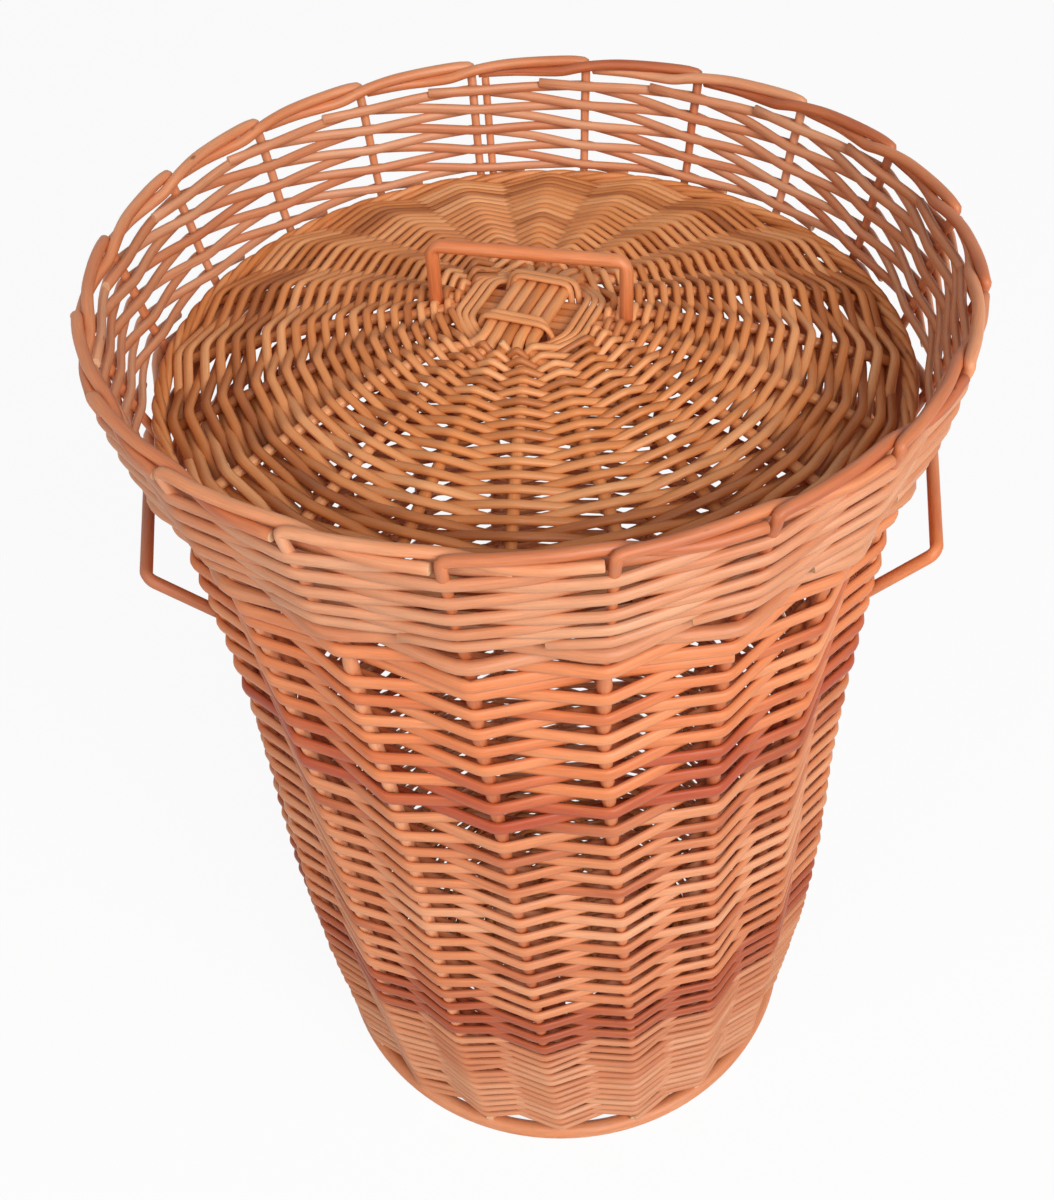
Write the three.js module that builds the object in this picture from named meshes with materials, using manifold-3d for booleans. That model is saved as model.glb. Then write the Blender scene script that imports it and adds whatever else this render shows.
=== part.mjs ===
// Lidded laundry basket of peeled willow, in millimetres, +Z up, origin on the axis at floor level.
// Twenty stakes stand on a foot ring, carry the woven wall and the open collar, and bend over as the border.
// A domed woven lid with a bent-rod handle drops into the collar and rests on the ledge, two thick rods.
// The weave is drawn coarser than the real one: each drawn row of the wall stands for about two rods.
import * as THREE from "three";
import { mergeVertices } from "three/addons/utils/BufferGeometryUtils.js";
import Module from "manifold-3d";

// Clearances
const touchGap = 0.35; // between rods that touch on the real basket
const rowGap = 1.6; // between neighbouring rows of one weave

// Stakes: the profile gives the radius of a stake's centre line at each height
const stakeCount = 20;
const stakeThickness = 7;
const stakeSides = 4;
const stakeFootTilt = 0.6; // a stake leans, so its end stands this much higher at its middle
const firstStakeAngle = 7.42; // degrees from +X to the first stake at the collar
const stakeLean = 8.37; // degrees the stakes turn from the shoulder down to the floor
const footRadius = 155.5;
const hipHeight = 150;
const hipRadius = 170.5;
const waistHeight = 350;
const waistRadius = 176.5;
const shoulderHeight = 450;
const shoulderRadius = 183.8;
const throatHeight = 515;
const throatRadius = 193;
const flareHeight = 540;
const flareRadius = 203;
const collarHeight = 560;
const collarRadius = 207.8;
const rimHeight = 591;
const rimRadius = 213;

// Border: spacing of its rods
const borderSpacing = 7;

// Foot and base
const footRingHeight = 11;
const footRingInner = 151;
const footRingOuter = 162;
const ringSegments = 36;
const baseStickThickness = 5.6;
const baseWeaverThickness = 4.4;
const baseRowPitch = 21;
const baseBend = 90; // radius of the middle knot of a stick
const baseWeaveFrom = 52;
const baseWeaveTo = 137;
const baseStickEnd = 159.5;
const baseCrown = 8;
const baseRimInset = 1; // the crown of the base starts this far inside the foot ring

// Wall weave: bands of two rods chasing each other, from the foot up to the ledge
const weaverThickness = 5.6;
const sidingPitch = 16.2;
const footBandTurns = 1.8;
const ankleBandTurns = 1.8;
const hipBandTurns = 2;
const lowerBandTurns = 2.4;
const waistBandTurns = 2.65;
const shoulderBandTurns = 2.1;
const upperBandTurns = 1.95;
const firstWeaverStake = 5;
const weaverEndCut = 0.05; // share of a stake space cut from the end of a rod of the wall
const discEndCut = 0.25; // the same for the rods of the lid and the base

// Ledge and collar
const ledgeHeight = 524; // centre line of the upper ledge rod
const ledgeRodThickness = 6.4;
const ledgeRodHeight = 7.6;
const collarRodThickness = 3.4;
const collarRodHeight = 5.2;
const collarPitch = 10.4;
const collarBottom = 538;
const collarTurns = 1.6;

// Lid
const lidRadius = 194;
const lidBorderWidth = 8.4;
const lidBorderHeight = 9;
const lidStickSetback = 1.9; // from the border in to the middle of a stick's slanted end
const lidDome = 32;
const lidInnerBend = 90; // radii of the knots of a stick
const lidOuterBend = 140;
const lidStickThickness = 5.6;
const lidWeaverThickness = 4.4;
const lidRowPitch = 13.6;
const lidEdgeGap = 1.5; // between the last row and the end of a stick
const lidTurn = 66.7; // degrees from +X to the middle stick of the lid's upper set

// Slaths: the crossed sticks at the middle of the lid and of the base
const sticksPerSet = 5;
const slathHalf = 26; // sticks of a set run side by side out to here
const fanReach = 40; // and have reached their rays here
const tieReach = 21; // from the middle to the rod that ties a slath
const tieThickness = 3.2;
const tieWidth = 5;

// Handles of bent rod
const handleThickness = 6.8;
const handleSides = 8;
const handleBendRadius = 12;
const lidHandleSpan = 97; // between the legs' centre lines
const lidHandleTop = 596.5; // centre line of the bar
const lidHandleTail = 9; // leg below the top face of the lid's sticks
const sideHandleReach = 211; // from the axis out to the bar's centre line
const sideHandleBarHeight = 463;
const sideHandleSpan = 92; // between the bar's corners
const sideHandleRoot = 425; // height near which the legs come out of the wall
const sideHandleDrop = 4; // from the middle of the inside pass down to the end of a leg
const sideHandleNudge = 0.7; // a leg slants, so its end is set this much closer to its stake
const sideHandleDepth = 1.2; // leg's lower end, outward of the stakes' centre line
const rightHandleStake = 18; // stake beside the right handle's front leg
const leftHandleStake = 9;

// Colours of the peeled willow
const peachWillow = 0xe0a37e;
const paleWillow = 0xe8b48f;
const orangeWillow = 0xd3824f;
const redWillow = 0xbf6a45;
const tanWillow = 0xbd8a5d;

const stepAngle = 360 / stakeCount;
const up = new THREE.Vector3(0, 0, 1);
const wasm = await Module();
wasm.setup();

const stakeProfile = [
  [footRingHeight, footRadius],
  [hipHeight, hipRadius],
  [waistHeight, waistRadius],
  [shoulderHeight, shoulderRadius],
  [throatHeight, throatRadius],
  [flareHeight, flareRadius],
  [collarHeight, collarRadius],
  [rimHeight, rimRadius],
];

// Each stake bends over on top of its neighbour's tail, passes inside the next stake, dives under that
// stake's rod and ends outside, against the stake after it.
// A knot is [stake spaces travelled, outward, up], the last two in rod spacings from the top of the stake.
const borderKnots = [
  [0, 0.46, -0.2],
  [0.07, 0.44, 0.6],
  [0.35, 0.2, 0.64],
  [0.65, -0.12, 0.64],
  [0.88, -0.57, 0.56],
  [1.04, -0.79, 0.38],
  [1.2, -0.59, -0.22],
  [1.38, -0.06, -0.56],
  [1.62, 0.54, -0.46],
  [1.91, 0.8, -0.34],
];

// Value at x on the straight stretches between knots of [x, value].
function alongKnots(knots, x) {
  const last = knots.length - 2;
  let i = 0;
  while (i < last && x > knots[i + 1][0]) i += 1;
  const [x0, y0] = knots[i];
  const [x1, y1] = knots[i + 1];
  return y0 + ((y1 - y0) * (x - x0)) / (x1 - x0);
}

function polar(radius, degrees, z) {
  const angle = THREE.MathUtils.degToRad(degrees);
  return new THREE.Vector3(radius * Math.cos(angle), radius * Math.sin(angle), z);
}

function stakeAngle(stake, z) {
  const below = Math.max(shoulderHeight - z, 0) / shoulderHeight;
  return firstStakeAngle + stake * stepAngle + stakeLean * below;
}

// Point beside the wall: offset is measured outward from the stakes' centre line.
function wallPoint(stake, z, offset) {
  return polar(alongKnots(stakeProfile, z) + offset, stakeAngle(stake, z), z);
}

function outward(point) {
  return new THREE.Vector3(point.x, point.y, 0);
}

// Closed skin over rings of corners, one ring for each path point, with flat ends unless the path is a loop.
function skin(rings, loop) {
  const sides = rings[0].length;
  const bays = loop ? rings.length : rings.length - 1;
  const index = [];
  for (let i = 0; i < bays; i += 1) {
    const here = i * sides;
    const there = ((i + 1) % rings.length) * sides;
    for (let j = 0; j < sides; j += 1) {
      const next = (j + 1) % sides;
      index.push(here + j, here + next, there + next, here + j, there + next, there + j);
    }
  }
  const end = (rings.length - 1) * sides;
  for (let j = 1; j < sides - 1 && !loop; j += 1) {
    index.push(0, j + 1, j, end, end + j, end + j + 1);
  }
  const corners = rings.flat().flatMap((corner) => corner.toArray());
  const geometry = new THREE.BufferGeometry();
  geometry.setAttribute("position", new THREE.Float32BufferAttribute(corners, 3));
  geometry.setIndex(index);
  return geometry;
}

// Rod along a path. Its section is thick in the direction that facing gives for a point, and wide across it.
function rod(path, { facing, thick, wide = thick, sides = 4, loop = false }) {
  const count = path.length;
  const rings = path.map((point, i) => {
    const before = path[loop ? (i + count - 1) % count : Math.max(i - 1, 0)];
    const after = path[loop ? (i + 1) % count : Math.min(i + 1, count - 1)];
    const tangent = after.clone().sub(before).normalize();
    const face = facing(point).clone();
    face.addScaledVector(tangent, -face.dot(tangent)).normalize();
    const across = tangent.clone().cross(face);
    return Array.from({ length: sides }, (_, j) => {
      const angle = (2 * Math.PI * j) / sides;
      return point
        .clone()
        .addScaledVector(face, (thick / 2) * Math.cos(angle))
        .addScaledVector(across, (wide / 2) * Math.sin(angle));
    });
  });
  return skin(rings, loop);
}

// Path through corners, each corner replaced by a bend.
function bentPath(corners, radius) {
  const path = [corners[0]];
  for (let i = 1; i < corners.length - 1; i += 1) {
    const toward = corners[i - 1].clone().sub(corners[i]).normalize();
    const away = corners[i + 1].clone().sub(corners[i]).normalize();
    const cut = radius / Math.tan(toward.angleTo(away) / 2);
    const start = corners[i].clone().addScaledVector(toward, cut);
    const finish = corners[i].clone().addScaledVector(away, cut);
    path.push(...new THREE.QuadraticBezierCurve3(start, corners[i], finish).getPoints(4));
  }
  path.push(corners.at(-1));
  return path;
}

// Ring turned round the axis, with the corners of its section cut.
function turnedRing(inner, outer, bottom, top) {
  const cutAcross = (outer - inner) / 5;
  const cutHeight = (top - bottom) / 4;
  const outline = [
    [inner + cutAcross, bottom],
    [inner, bottom + cutHeight],
    [inner, top - cutHeight],
    [inner + cutAcross, top],
    [outer - cutAcross, top],
    [outer, top - cutHeight],
    [outer, bottom + cutHeight],
    [outer - cutAcross, bottom],
  ];
  const rings = Array.from({ length: ringSegments }, (_, i) =>
    outline.map(([radius, z]) => polar(radius, (360 * i) / ringSegments, z)),
  );
  return skin(rings, true);
}

function addPiece(group, name, geometry, color) {
  const finish = { color, roughness: 0.62, metalness: 0, flatShading: true };
  const mesh = new THREE.Mesh(geometry, new THREE.MeshStandardMaterial(finish));
  mesh.name = name;
  group.add(mesh);
}

function fuse(geometries) {
  const solids = geometries.map((geometry) => {
    const merged = mergeVertices(geometry, 1e-4);
    return new wasm.Manifold(
      new wasm.Mesh({
        numProp: 3,
        vertProperties: new Float32Array(merged.attributes.position.array),
        triVerts: new Uint32Array(merged.index.array),
      }),
    );
  });
  const { vertProperties, triVerts } = solids.reduce((a, b) => a.add(b)).getMesh();
  const geometry = new THREE.BufferGeometry();
  geometry.setAttribute("position", new THREE.BufferAttribute(vertProperties, 3));
  geometry.setIndex(new THREE.BufferAttribute(triVerts, 1));
  return geometry;
}

// Stakes
const baseStickHeight = footRingHeight + touchGap + baseStickThickness / 2;
const stakeFoot = baseStickHeight + baseStickThickness / 2 + touchGap + stakeFootTilt;

function stakePath(stake) {
  const wall = stakeProfile.slice(1).map(([z]) => wallPoint(stake, z, 0));
  const border = borderKnots.map(([spaces, out, rise]) =>
    polar(
      rimRadius + out * borderSpacing,
      stakeAngle(stake + spaces, rimHeight),
      rimHeight + rise * borderSpacing,
    ),
  );
  return [wallPoint(stake, stakeFoot, 0), ...wall, ...border];
}

function addStakes(group) {
  for (let stake = 0; stake < stakeCount; stake += 1) {
    const geometry = rod(stakePath(stake), { facing: outward, thick: stakeThickness, sides: stakeSides });
    addPiece(group, `stake_${String(stake + 1).padStart(2, "0")}`, geometry, peachWillow);
  }
}

// Wall weave: strands of a band climb together, each by the lead in one turn round the basket
function climbingWeaver(band, strand) {
  const pitch = band.lead / band.strands;
  const reach = stakeThickness / 2 + touchGap + band.thick / 2;
  const stagger = Math.round((strand * stakeCount) / band.strands);
  const first = band.levelStart ? -stagger : 0;
  const last = Math.round(band.turns * stakeCount) - (band.levelEnd ? stagger : 0);
  const path = [];
  for (let step = first; step <= last; step += 1) {
    const z = band.bottom + pitch * (strand + 0.5) + (band.lead * step) / stakeCount;
    const side = (step + strand) % 2 === 0 ? -1 : 1;
    path.push(wallPoint(band.from + step, z, side * reach));
  }
  path[0].lerp(path[1], weaverEndCut);
  path.at(-1).lerp(path.at(-2), weaverEndCut);
  return rod(path, { facing: outward, thick: band.thick, wide: band.wide ?? pitch - rowGap });
}

function addBand(group, name, band, color) {
  for (let strand = 0; strand < band.strands; strand += 1) {
    addPiece(group, `${name}_${strand + 1}`, climbingWeaver(band, strand), color);
  }
}

// Band that carries on at the stake and the height where the one below it stops.
function bandAbove(band, rest) {
  const steps = Math.round(band.turns * stakeCount);
  const bottom = band.bottom + (band.lead * steps) / stakeCount;
  return { ...band, levelStart: false, from: band.from + steps, bottom, ...rest };
}

const footBand = {
  strands: 2,
  lead: 2 * sidingPitch,
  thick: weaverThickness,
  from: firstWeaverStake,
  bottom: stakeFoot + touchGap,
  turns: footBandTurns,
  levelStart: true,
};
const ankleBand = bandAbove(footBand, { turns: ankleBandTurns });
const hipBand = bandAbove(ankleBand, { turns: hipBandTurns });
const lowerBand = bandAbove(hipBand, { turns: lowerBandTurns });
const waistBand = bandAbove(lowerBand, { turns: waistBandTurns });
const shoulderBand = bandAbove(waistBand, { turns: shoulderBandTurns });
const upperBand = bandAbove(shoulderBand, { turns: upperBandTurns, levelEnd: true });
const collar = {
  strands: 2,
  lead: 2 * collarPitch,
  thick: collarRodThickness,
  wide: collarRodHeight,
  from: firstWeaverStake,
  bottom: collarBottom,
  turns: collarTurns,
  levelStart: true,
  levelEnd: true,
};

// Ledge rod: level, closed on itself, one side of every other stake.
function ledgeRod(z, phase) {
  const reach = stakeThickness / 2 + touchGap + ledgeRodThickness / 2;
  const path = Array.from({ length: stakeCount }, (_, stake) =>
    wallPoint(stake, z, (stake + phase) % 2 ? reach : -reach),
  );
  return rod(path, { facing: outward, thick: ledgeRodThickness, wide: ledgeRodHeight, loop: true });
}

function addWall(group) {
  addBand(group, "foot_weaver", footBand, paleWillow);
  addBand(group, "ankle_weaver", ankleBand, paleWillow);
  addBand(group, "hip_weaver", hipBand, redWillow);
  addBand(group, "lower_weaver", lowerBand, peachWillow);
  addBand(group, "waist_weaver", waistBand, peachWillow);
  addBand(group, "shoulder_weaver", shoulderBand, orangeWillow);
  addBand(group, "upper_weaver", upperBand, orangeWillow);
  addPiece(group, "ledge_rod_upper", ledgeRod(ledgeHeight, 0), paleWillow);
  addPiece(group, "ledge_rod_lower", ledgeRod(ledgeHeight - ledgeRodHeight - rowGap, 1), paleWillow);
  addBand(group, "collar_weaver", collar, paleWillow);
}

// Domed discs: the lid and the base, woven on two crossed sets of sticks that fan out into rays
const rayAngle = 90 / sticksPerSet;

function disc(shape) {
  const height = (radius) => shape.edge + shape.dome * Math.max(0, 1 - (radius / shape.domeRadius) ** 2);
  const knots = [0, slathHalf, ...shape.stations].map((radius) => [radius, height(radius)]);
  const steepness = (2 * shape.dome) / shape.domeRadius ** 2;
  const normal = (point) => new THREE.Vector3(point.x * steepness, point.y * steepness, 1).normalize();
  return { ...shape, knots, normal };
}

// Stick number i of a set: side by side with its neighbours across the middle, then fanned out to its rays.
function stickPath(shape, set, i) {
  const middle = alongKnots(shape.knots, slathHalf) + (set === 0 ? 1 : -1) * shape.lift;
  const half = [new THREE.Vector3(slathHalf, i * (shape.stick + touchGap), middle)];
  for (const radius of shape.stations) {
    half.push(polar(radius, i * rayAngle, alongKnots(shape.knots, radius)));
  }
  const mirrored = half.map(({ x, y, z }) => new THREE.Vector3(-x, y, z)).reverse();
  const turn = THREE.MathUtils.degToRad(shape.turn + 90 * set);
  return [...mirrored, ...half].map((point) => point.applyAxisAngle(up, turn));
}

function discSticks(shape) {
  const sticks = [];
  const reach = (sticksPerSet - 1) / 2;
  for (let set = 0; set < 2; set += 1) {
    for (let i = -reach; i <= reach; i += 1) {
      sticks.push(rod(stickPath(shape, set, i), { facing: shape.normal, thick: shape.stick }));
    }
  }
  return sticks;
}

// Rod that spirals out over and under the rays, two of them chasing each other.
function discWeaver(shape, strand) {
  const rays = 4 * sticksPerSet;
  const reach = (shape.stick + shape.weaver) / 2 + touchGap;
  const path = [];
  for (let step = 0; ; step += 1) {
    const radius = shape.weaveFrom + (2 * shape.pitch * step) / rays;
    if (radius > shape.weaveTo) break;
    const ray = shape.firstRay + step + (strand * rays) / 2;
    const point = polar(radius, shape.turn + ray * rayAngle, alongKnots(shape.knots, radius));
    path.push(point.addScaledVector(shape.normal(point), (step + strand) % 2 ? reach : -reach));
  }
  path[0].lerp(path[1], discEndCut);
  path.at(-1).lerp(path.at(-2), discEndCut);
  return rod(path, { facing: shape.normal, thick: shape.weaver, wide: shape.pitch - rowGap });
}

// Loop that ties the slath: over the sticks of one set and under those of the other.
function slathTie(shape) {
  const reach = shape.lift + (shape.stick + tieThickness) / 2 + touchGap;
  const middle = alongKnots(shape.knots, slathHalf);
  const side = tieReach - tieWidth / 2 - touchGap;
  const path = [0, 1, 2, 3].flatMap((quarter) => {
    const z = middle + (quarter % 2 === 0 ? reach : -reach);
    const turn = THREE.MathUtils.degToRad(shape.turn + 90 * quarter);
    return [-side, 0, side].map((y) => new THREE.Vector3(tieReach, y, z).applyAxisAngle(up, turn));
  });
  return rod(path, { facing: () => up, thick: tieThickness, wide: tieWidth, loop: true });
}

const baseRim = footRingInner - baseRimInset;

const base = disc({
  turn: stakeAngle(0, stakeFoot),
  stations: [fanReach, baseBend, baseRim, baseStickEnd],
  domeRadius: baseRim,
  dome: baseCrown,
  edge: baseStickHeight,
  lift: 0,
  stick: baseStickThickness,
  weaver: baseWeaverThickness,
  pitch: baseRowPitch,
  firstRay: 0,
  weaveFrom: baseWeaveFrom,
  weaveTo: baseWeaveTo,
});

function addBase(group) {
  addPiece(group, "foot_ring", turnedRing(footRingInner, footRingOuter, 0, footRingHeight), peachWillow);
  addPiece(group, "base_slath", fuse(discSticks(base)), tanWillow);
  addPiece(group, "base_tie", slathTie(base), tanWillow);
  addPiece(group, "base_weaver_1", discWeaver(base, 0), tanWillow);
  addPiece(group, "base_weaver_2", discWeaver(base, 1), tanWillow);
}

// Lid
const lidSeat = ledgeHeight + ledgeRodHeight / 2 + touchGap;
const lidStickEnd = lidRadius - lidBorderWidth - lidStickSetback;
const lidLegRadius = lidHandleSpan / 2;
const lidLegRay = -4.5; // the handle's legs stand halfway between two rays

const lid = disc({
  turn: lidTurn,
  stations: [fanReach, lidInnerBend, lidOuterBend, lidStickEnd],
  domeRadius: lidStickEnd,
  dome: lidDome,
  edge: lidSeat + lidBorderHeight / 2,
  lift: (lidStickThickness + touchGap) / 2,
  stick: lidStickThickness,
  weaver: lidWeaverThickness,
  pitch: lidRowPitch,
  firstRay: lidLegRay - 0.5,
  weaveFrom: lidLegRadius + handleThickness / 2 + touchGap + (lidRowPitch - rowGap) / 2,
  weaveTo: lidStickEnd - lidRowPitch / 2 - lidEdgeGap,
});

function lidHandle() {
  const turn = THREE.MathUtils.degToRad(lidTurn + lidLegRay * rayAngle);
  const foot = alongKnots(lid.knots, lidLegRadius) + lidStickThickness / 2 - lidHandleTail;
  const corners = [
    new THREE.Vector3(-lidLegRadius, 0, foot),
    new THREE.Vector3(-lidLegRadius, 0, lidHandleTop),
    new THREE.Vector3(lidLegRadius, 0, lidHandleTop),
    new THREE.Vector3(lidLegRadius, 0, foot),
  ].map((corner) => corner.applyAxisAngle(up, turn));
  const across = new THREE.Vector3(0, 1, 0).applyAxisAngle(up, turn);
  const path = bentPath(corners, handleBendRadius);
  return rod(path, { facing: () => across, thick: handleThickness, sides: handleSides });
}

function addLid(group) {
  discSticks(lid).forEach((stick, i) => {
    addPiece(group, `lid_stick_${String(i + 1).padStart(2, "0")}`, stick, tanWillow);
  });
  addPiece(group, "lid_tie", slathTie(lid), peachWillow);
  addPiece(group, "lid_weaver_1", discWeaver(lid, 0), tanWillow);
  addPiece(group, "lid_weaver_2", discWeaver(lid, 1), tanWillow);
  const border = turnedRing(lidRadius - lidBorderWidth, lidRadius, lidSeat, lidSeat + lidBorderHeight);
  addPiece(group, "lid_border", border, tanWillow);
  addPiece(group, "lid_handle", lidHandle(), orangeWillow);
}

// Side handles: each leg comes out of the wall beside a stake, where a row of the siding passes inside it

// Height of the inside pass at a stake that is nearest to the height wanted.
function insidePass(band, stake, wanted) {
  const pitch = band.lead / band.strands;
  const step = (stake - band.from) % stakeCount;
  const strand = ((step % 2) + 2) % 2;
  const lowest = band.bottom + pitch * (strand + 0.5) + (band.lead * step) / stakeCount;
  return lowest + band.lead * Math.round((wanted - lowest) / band.lead);
}

function sideHandle(stake) {
  const middle = THREE.MathUtils.degToRad(stakeAngle(stake + 1, shoulderHeight));
  const beside = (handleThickness + stakeThickness) / 2 + touchGap - sideHandleNudge;
  const legs = [1, -1].map((side) => {
    const own = stake + 1 - side;
    const z = insidePass(shoulderBand, own, sideHandleRoot) - sideHandleDrop;
    const angle = (side * beside) / alongKnots(stakeProfile, z);
    const root = wallPoint(own, z, sideHandleDepth).applyAxisAngle(up, angle);
    const corner = new THREE.Vector3(sideHandleReach, (-side * sideHandleSpan) / 2, sideHandleBarHeight);
    return [root, corner.applyAxisAngle(up, middle)];
  });
  const corners = [legs[0][0], legs[0][1], legs[1][1], legs[1][0]];
  const slant = corners[1].clone().sub(corners[0]);
  const bar = corners[2].clone().sub(corners[1]);
  const normal = slant.cross(bar).normalize();
  const path = bentPath(corners, handleBendRadius);
  return rod(path, { facing: () => normal, thick: handleThickness, sides: handleSides });
}

function addSideHandles(group) {
  addPiece(group, "side_handle_right", sideHandle(rightHandleStake), orangeWillow);
  addPiece(group, "side_handle_left", sideHandle(leftHandleStake), redWillow);
}

const basket = new THREE.Group();
addStakes(basket);
addWall(basket);
addBase(basket);
addLid(basket);
addSideHandles(basket);

export default basket;
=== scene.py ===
"""Lidded laundry basket of peeled willow: the rods, their finish, the light and the camera.

Every rod is a tube carried along a path that is worked out in whole arrays, in millimetres on the
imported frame's own axes, and turned to metres when its mesh is made.
"""

import logging
from collections.abc import Iterator
from dataclasses import dataclass, field
from enum import Enum

import bpy
import numpy as np
from mathutils import Matrix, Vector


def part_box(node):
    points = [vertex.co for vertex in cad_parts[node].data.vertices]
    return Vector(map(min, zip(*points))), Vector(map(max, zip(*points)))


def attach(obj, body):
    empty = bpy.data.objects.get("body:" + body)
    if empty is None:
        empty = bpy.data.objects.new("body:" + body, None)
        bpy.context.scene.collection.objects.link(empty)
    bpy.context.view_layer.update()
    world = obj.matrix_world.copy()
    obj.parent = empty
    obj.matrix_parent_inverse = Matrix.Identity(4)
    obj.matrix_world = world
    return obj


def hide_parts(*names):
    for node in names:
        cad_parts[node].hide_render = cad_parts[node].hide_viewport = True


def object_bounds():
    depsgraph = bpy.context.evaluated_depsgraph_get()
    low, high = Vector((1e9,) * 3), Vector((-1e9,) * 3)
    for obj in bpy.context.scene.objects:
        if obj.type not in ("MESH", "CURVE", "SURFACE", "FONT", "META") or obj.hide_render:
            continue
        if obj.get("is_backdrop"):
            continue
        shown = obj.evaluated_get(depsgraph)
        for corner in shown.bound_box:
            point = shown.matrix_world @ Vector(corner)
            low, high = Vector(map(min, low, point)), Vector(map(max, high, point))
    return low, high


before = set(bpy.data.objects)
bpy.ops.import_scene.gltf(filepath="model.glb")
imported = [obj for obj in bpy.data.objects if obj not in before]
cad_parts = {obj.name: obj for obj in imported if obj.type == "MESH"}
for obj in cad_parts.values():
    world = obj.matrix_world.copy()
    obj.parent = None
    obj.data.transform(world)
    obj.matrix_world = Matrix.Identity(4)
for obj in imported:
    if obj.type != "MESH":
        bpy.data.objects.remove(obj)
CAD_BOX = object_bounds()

Array = np.ndarray
MM = 0.001
STAKES = 20
STEP = 360.0 / STAKES
LOG = logging.getLogger("basket")

# Places shared with the solids, in millimetres and degrees
PROFILE = ((11, 155.5), (150, 170.5), (350, 176.5), (450, 183.8),
           (515, 193), (540, 203), (560, 207.8), (591, 213))
FIRST_STAKE = 7.42
STAKE_LEAN = 8.37
SHOULDER = 450.0
RIM_HEIGHT = 591.0
RIM_RADIUS = 213.0
LEDGE_HEIGHT = 524.0
LID_EDGE = 532.65
LID_STICK_END = 183.7
LID_DOME = 32.0
LID_TURN = 66.7
BASE_HEIGHT = 14.15
BASE_CROWN = 8.0
BASE_STAKE_HEIGHT = 17.9


class Body(Enum):
    """The two bodies that pieces ride on."""

    BASKET = "basket"
    LID = "lid"


# Curves and tubes


def hermite(knots: tuple[tuple[float, float], ...], x: Array | float) -> Array:
    """Smooth curve through knots of (x, value).

    Between two knots the value is the cubic that has each knot's own slope there, and a knot's
    slope is that of the parabola through it and its neighbours.

    Args:
        knots: places and values, places rising.
        x: where the curve is wanted.

    Returns:
        The values at x.
    """
    place, value = np.asarray(knots, float).T
    slope = np.gradient(value, place)
    x = np.clip(np.asarray(x, float), place[0], place[-1])
    i = np.clip(np.searchsorted(place, x, side="right") - 1, 0, len(place) - 2)
    width = place[i + 1] - place[i]
    t = (x - place[i]) / width
    return ((1 + 2 * t) * (1 - t) ** 2 * value[i] + t * (1 - t) ** 2 * width * slope[i]
            + t * t * (3 - 2 * t) * value[i + 1] + t * t * (t - 1) * width * slope[i + 1])


def wall_radius(z: Array | float) -> Array:
    """Radius of the stakes' centre lines at a height."""
    return hermite(PROFILE, z)


def stake_angle(stake: Array | float, z: Array | float) -> Array:
    """Degrees from +X to a stake at a height: it turns evenly from the shoulder to the floor."""
    return FIRST_STAKE + STEP * np.asarray(stake) + STAKE_LEAN * np.maximum(SHOULDER - z, 0) / SHOULDER


def polar(radius: Array | float, degrees: Array | float, z: Array | float) -> Array:
    """Points at a radius, an angle from +X and a height, one row each."""
    radius, angle, z = np.broadcast_arrays(radius, np.radians(degrees), z)
    return np.stack([radius * np.cos(angle), radius * np.sin(angle), z], axis=-1).astype(float)


def wall_point(stake: Array | float, z: Array | float, offset: Array | float) -> Array:
    """Points beside the wall, offset outward from the stakes' centre lines."""
    return polar(wall_radius(z) + offset, stake_angle(stake, z), z)


def unit(rows: Array) -> Array:
    """Each row, or a single vector, at length 1."""
    return rows / np.linalg.norm(rows, axis=-1, keepdims=True)


def outward(path: Array) -> Array:
    """Direction away from the basket's axis at each point."""
    away = path * (1.0, 1.0, 0.0)
    return away / np.maximum(np.linalg.norm(away, axis=1, keepdims=True), 1e-9)


def quadratic(start: Array, corner: Array, finish: Array, t: Array | float) -> Array:
    """Places at t on the quadratic curve from start to finish whose handle is the corner."""
    return (1 - t) ** 2 * start + 2 * t * (1 - t) * corner + t * t * finish


def kinked(knots: Array, bend: float | Array, loop: bool = False) -> Array:
    """Straight runs between knots with a short bend at each.

    A bend is the quadratic curve whose handle is the knot and whose ends lie the share bend along
    the runs beside it; it is sampled at its ends and at two places between, and each run at its
    middle.

    Args:
        knots: corners of the path, one row each.
        bend: share of a run that a bend takes from each end, one for all knots or one each.
        loop: whether the last knot runs on to the first.

    Returns:
        The path's points.
    """
    before = np.roll(knots, 1, axis=0)
    after = np.roll(knots, -1, axis=0)
    share = np.reshape(bend, (-1, 1))
    start = knots + share * (before - knots)
    finish = knots + share * (after - knots)
    rows = [quadratic(start, knots, finish, t) for t in (0, 0.34, 0.66, 1)]
    rows.append((knots + after) / 2)
    path = np.stack(rows, axis=1).reshape(-1, 3)
    return path if loop else np.vstack([knots[:1], path[4:-5], knots[-1:]])


def ease(x: Array | float, start: float, end: float) -> Array:
    """Smooth step: 0 up to start, 1 from end, and 3 t squared less 2 t cubed between."""
    t = np.clip((np.asarray(x, float) - start) / (end - start), 0, 1)
    return t * t * (3 - 2 * t)


def tapered(size: Array | float, taper: tuple[float, float], share: Array) -> Array:
    """A size along a rod: taper's first share of it at the butt, less the second by the tip."""
    return size * (taper[0] - taper[1] * share)


def spline(knots: Array, per_span: int) -> Array:
    """Smooth path through knots: on each span the cubic whose end slopes are half the chord
    between the knots on either side.

    Args:
        knots: rows of any width, so a thickness can go along with a place.
        per_span: samples on each span.

    Returns:
        The path's rows.
    """
    ends = np.vstack([2 * knots[0] - knots[1], knots, 2 * knots[-1] - knots[-2]])
    a, b, c, d = ends[:-3, None], ends[1:-2, None], ends[2:-1, None], ends[3:, None]
    t = (np.arange(per_span) / per_span)[None, :, None]
    rows = b + t / 2 * (c - a + t * (2 * a - 5 * b + 4 * c - d + t * (3 * (b - c) + d - a)))
    return np.vstack([rows.reshape(-1, knots.shape[1]), knots[-1:]])


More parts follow.
